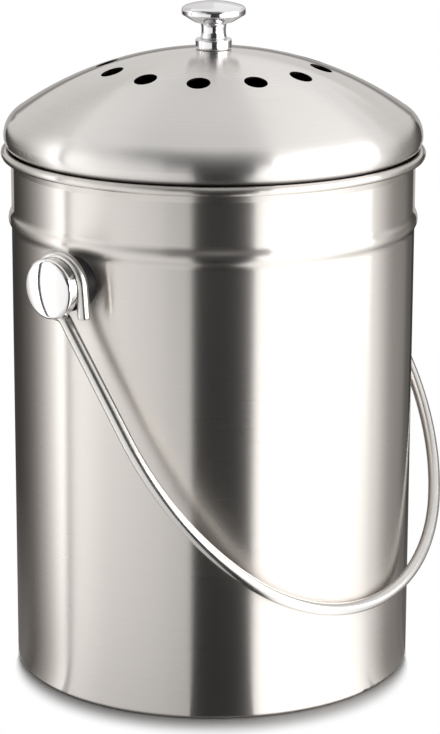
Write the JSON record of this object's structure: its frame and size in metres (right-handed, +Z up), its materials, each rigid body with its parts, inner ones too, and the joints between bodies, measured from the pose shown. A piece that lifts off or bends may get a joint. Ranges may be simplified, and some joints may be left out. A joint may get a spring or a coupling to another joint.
{
  "type": "countertop compost pail",
  "caption": "Stainless steel countertop compost pail with a lift-off vented dome lid, a charcoal filter under the lid and a swinging wire bail handle.",
  "frame": {"origin": "centre of the standing ring, on the table, under the pail's axis", "axes": "+Z up along the pail's axis; X along the bail's pivot line, with the left ear at -X and the right ear at +X; -Y towards the side that the bail leans on"},
  "size_m": [0.2066, 0.1797, 0.2849],
  "materials": {
    "pail_steel": "brushed round the pail, satin",
    "lid_steel": "finely brushed in circles, satin",
    "collar_steel": "mill finish",
    "spacer_plastic": "black, satin",
    "ear_chrome": "polished",
    "knob_chrome": "polished",
    "bail_wire": "polished wire",
    "washer_steel": "stamped, dull",
    "screw_steel": "plain, satin",
    "charcoal_felt": "carbon-loaded fibre felt",
    "retainer_plastic": "fine texture"
  },
  "bodies": {
    "pail": {"pail_shell": "pail_steel", "left_ear_spacer": "spacer_plastic", "right_ear_spacer": "spacer_plastic", "left_ear_cap": "ear_chrome", "right_ear_cap": "ear_chrome", "left_ear_washer": "washer_steel", "right_ear_washer": "washer_steel", "left_ear_screw": "screw_steel", "right_ear_screw": "screw_steel"},
    "bail": {"bail_handle": "bail_wire"},
    "lid": {"lid_dome": "lid_steel", "lid_collar": "collar_steel", "filter_pad": "charcoal_felt", "filter_retainer": "retainer_plastic", "knob_ferrule": "knob_chrome", "lid_knob": "knob_chrome", "knob_washer": "washer_steel", "knob_screw": "screw_steel"}
  },
  "joints": [
    {"name": "bail_swing", "type": "hinge", "parent": "pail", "child": "bail", "pos_m": [0, 0, 0.1802], "axis": [-1, 0, 0], "range_deg": [0, 295]},
    {"name": "lid_lift", "type": "slide", "parent": "pail", "child": "lid", "axis": [0, 0, 1], "range_m": [0, 0.12]}
  ]
}
